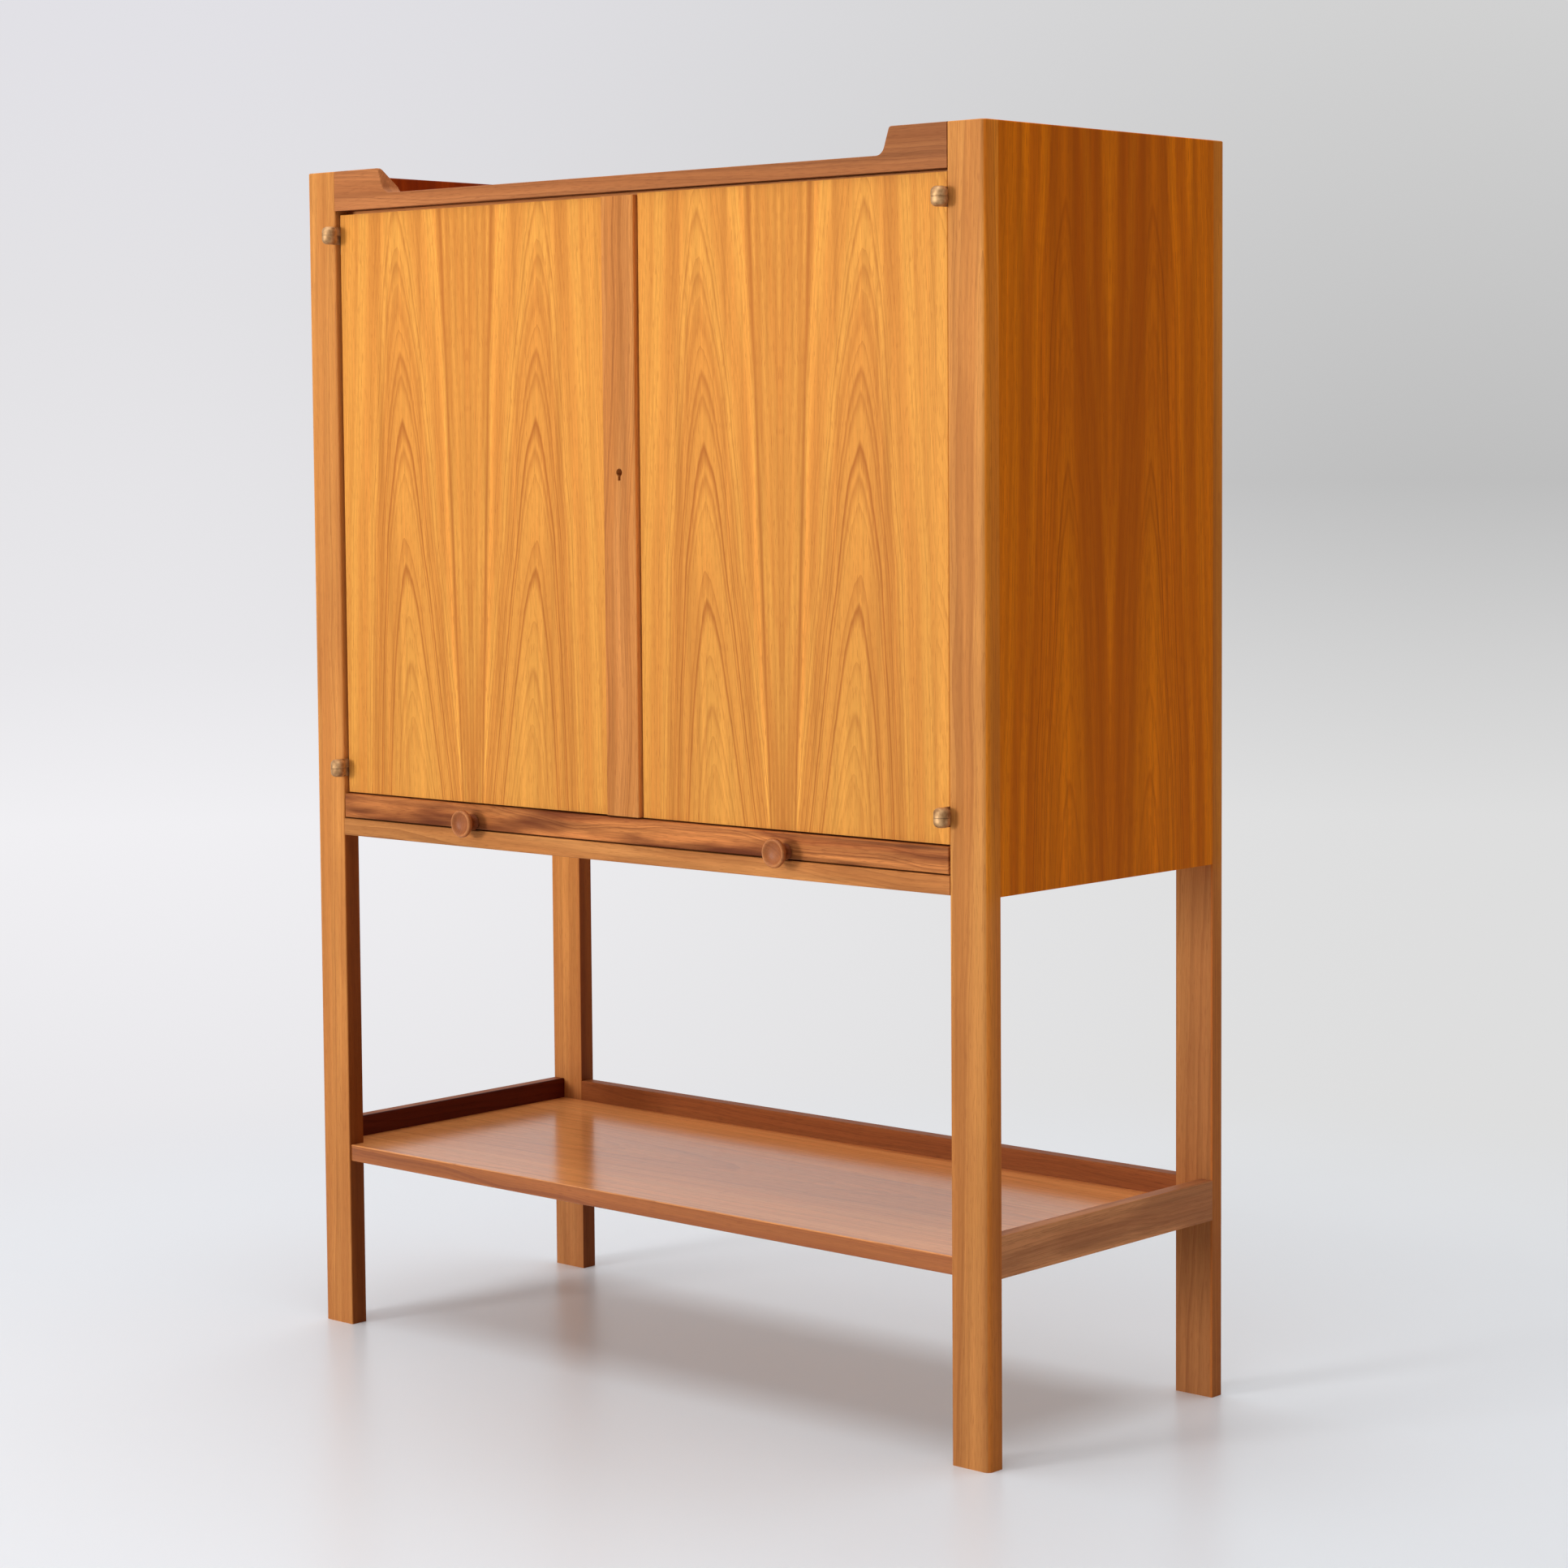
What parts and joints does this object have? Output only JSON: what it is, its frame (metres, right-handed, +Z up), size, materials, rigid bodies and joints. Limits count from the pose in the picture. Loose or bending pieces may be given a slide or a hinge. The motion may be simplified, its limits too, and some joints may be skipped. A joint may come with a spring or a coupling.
{
  "type": "storage cabinet",
  "caption": "Two-door wooden storage cabinet on tall flat legs, with a pull-out slide under the doors, a sunk top and an open shelf with a low rim.",
  "frame": {"origin": "on the ground, in the middle of the cabinet's width and of its whole depth from the knobs' faces to the back", "axes": "+Z up, the doors face -Y, +X to the right of a person who faces the doors"},
  "size_m": [1.05, 0.443, 1.4],
  "materials": {
    "door_veneer": "flame-figured golden brown veneer, satin",
    "side_veneer": "straight-grained brown veneer, satin",
    "solid_wood": "straight-grained solid wood, satin",
    "dark_solid_wood": "reddish brown solid wood, satin",
    "board_veneer": "brown veneered board, satin",
    "pale_wood": "bare pale hardwood",
    "brass": "polished, slightly aged",
    "steel": "plain"
  },
  "bodies": {
    "cabinet": {"back_panel": "board_veneer", "back_panel_screws": "steel", "cabinet_floor": "board_veneer", "case_bottom_panel": "board_veneer", "case_dowels": "pale_wood", "frame_hinge_screws": "brass", "front_bottom_rail": "solid_wood", "front_left_leg": "solid_wood", "front_right_leg": "solid_wood", "front_top_rail": "dark_solid_wood", "hinge_pins": "brass", "inner_shelf_pins": "brass", "left_frame_hinge_leaves": "brass", "left_side_panel": "side_veneer", "lower_inner_shelf": "board_veneer", "lower_shelf_back_rail": "dark_solid_wood", "lower_shelf_board": "board_veneer", "lower_shelf_dowels": "pale_wood", "lower_shelf_front_edge": "dark_solid_wood", "lower_shelf_left_rail": "dark_solid_wood", "lower_shelf_right_rail": "dark_solid_wood", "rear_left_leg": "solid_wood", "rear_right_leg": "solid_wood", "rear_top_rail": "dark_solid_wood", "right_frame_hinge_leaves": "brass", "right_side_panel": "side_veneer", "slide_guides": "pale_wood", "slide_runners": "pale_wood", "slide_stop_batten": "pale_wood", "top_panel": "board_veneer", "upper_inner_shelf": "board_veneer"},
    "left_door": {"left_door_panel": "door_veneer", "left_door_hinge_lipping": "solid_wood", "meeting_strip": "dark_solid_wood", "left_door_hinge_leaves": "brass", "left_door_hinge_screws": "brass", "lock_case": "steel", "lock_screws": "steel"},
    "right_door": {"right_door_panel": "door_veneer", "right_door_hinge_lipping": "solid_wood", "right_door_meeting_lipping": "solid_wood", "right_door_hinge_leaves": "brass", "right_door_hinge_screws": "brass", "strike_plate": "brass", "strike_plate_screws": "brass", "upper_bolt_keeper": "brass", "lower_bolt_keeper": "brass", "door_bolt_screws": "brass"},
    "slide": {"slide_front": "dark_solid_wood", "slide_board": "board_veneer", "slide_end_batten": "pale_wood", "left_knob": "dark_solid_wood", "right_knob": "dark_solid_wood", "knob_screws": "steel"},
    "lock_follower": {"lock_follower": "steel"},
    "lock_bolt": {"lock_bolt": "steel"},
    "upper_door_bolt": {"upper_door_bolt": "brass"},
    "lower_door_bolt": {"lower_door_bolt": "brass"}
  },
  "joints": [
    {"name": "left_door_hinge", "type": "hinge", "parent": "cabinet", "child": "left_door", "pos_m": [-0.47325, -0.2085, 1.004], "axis": [0, 0, -1], "range_deg": [0, 170]},
    {"name": "right_door_hinge", "type": "hinge", "parent": "cabinet", "child": "right_door", "pos_m": [0.47325, -0.2085, 1.004], "axis": [0, 0, 1], "range_deg": [0, 170]},
    {"name": "slide_pull", "type": "slide", "parent": "cabinet", "child": "slide", "axis": [0, -1, 0], "range_m": [0, 0.28]},
    {"name": "lock_turn", "type": "hinge", "parent": "left_door", "child": "lock_follower", "pos_m": [-0.001, -0.17, 1.041], "axis": [0, 1, 0], "range_deg": [0, 60]},
    {"name": "lock_bolt_throw", "type": "slide", "parent": "left_door", "child": "lock_bolt", "axis": [1, 0, 0], "range_m": [0, 0.012]},
    {"name": "upper_door_bolt_throw", "type": "slide", "parent": "right_door", "child": "upper_door_bolt", "axis": [0, 0, 1], "range_m": [0, 0.01]},
    {"name": "lower_door_bolt_throw", "type": "slide", "parent": "right_door", "child": "lower_door_bolt", "axis": [0, 0, -1], "range_m": [0, 0.01]}
  ],
  "couplings": [
    {"joint": "lock_bolt_throw", "follows": "lock_turn", "m_per_rad": 0.011459}
  ]
}
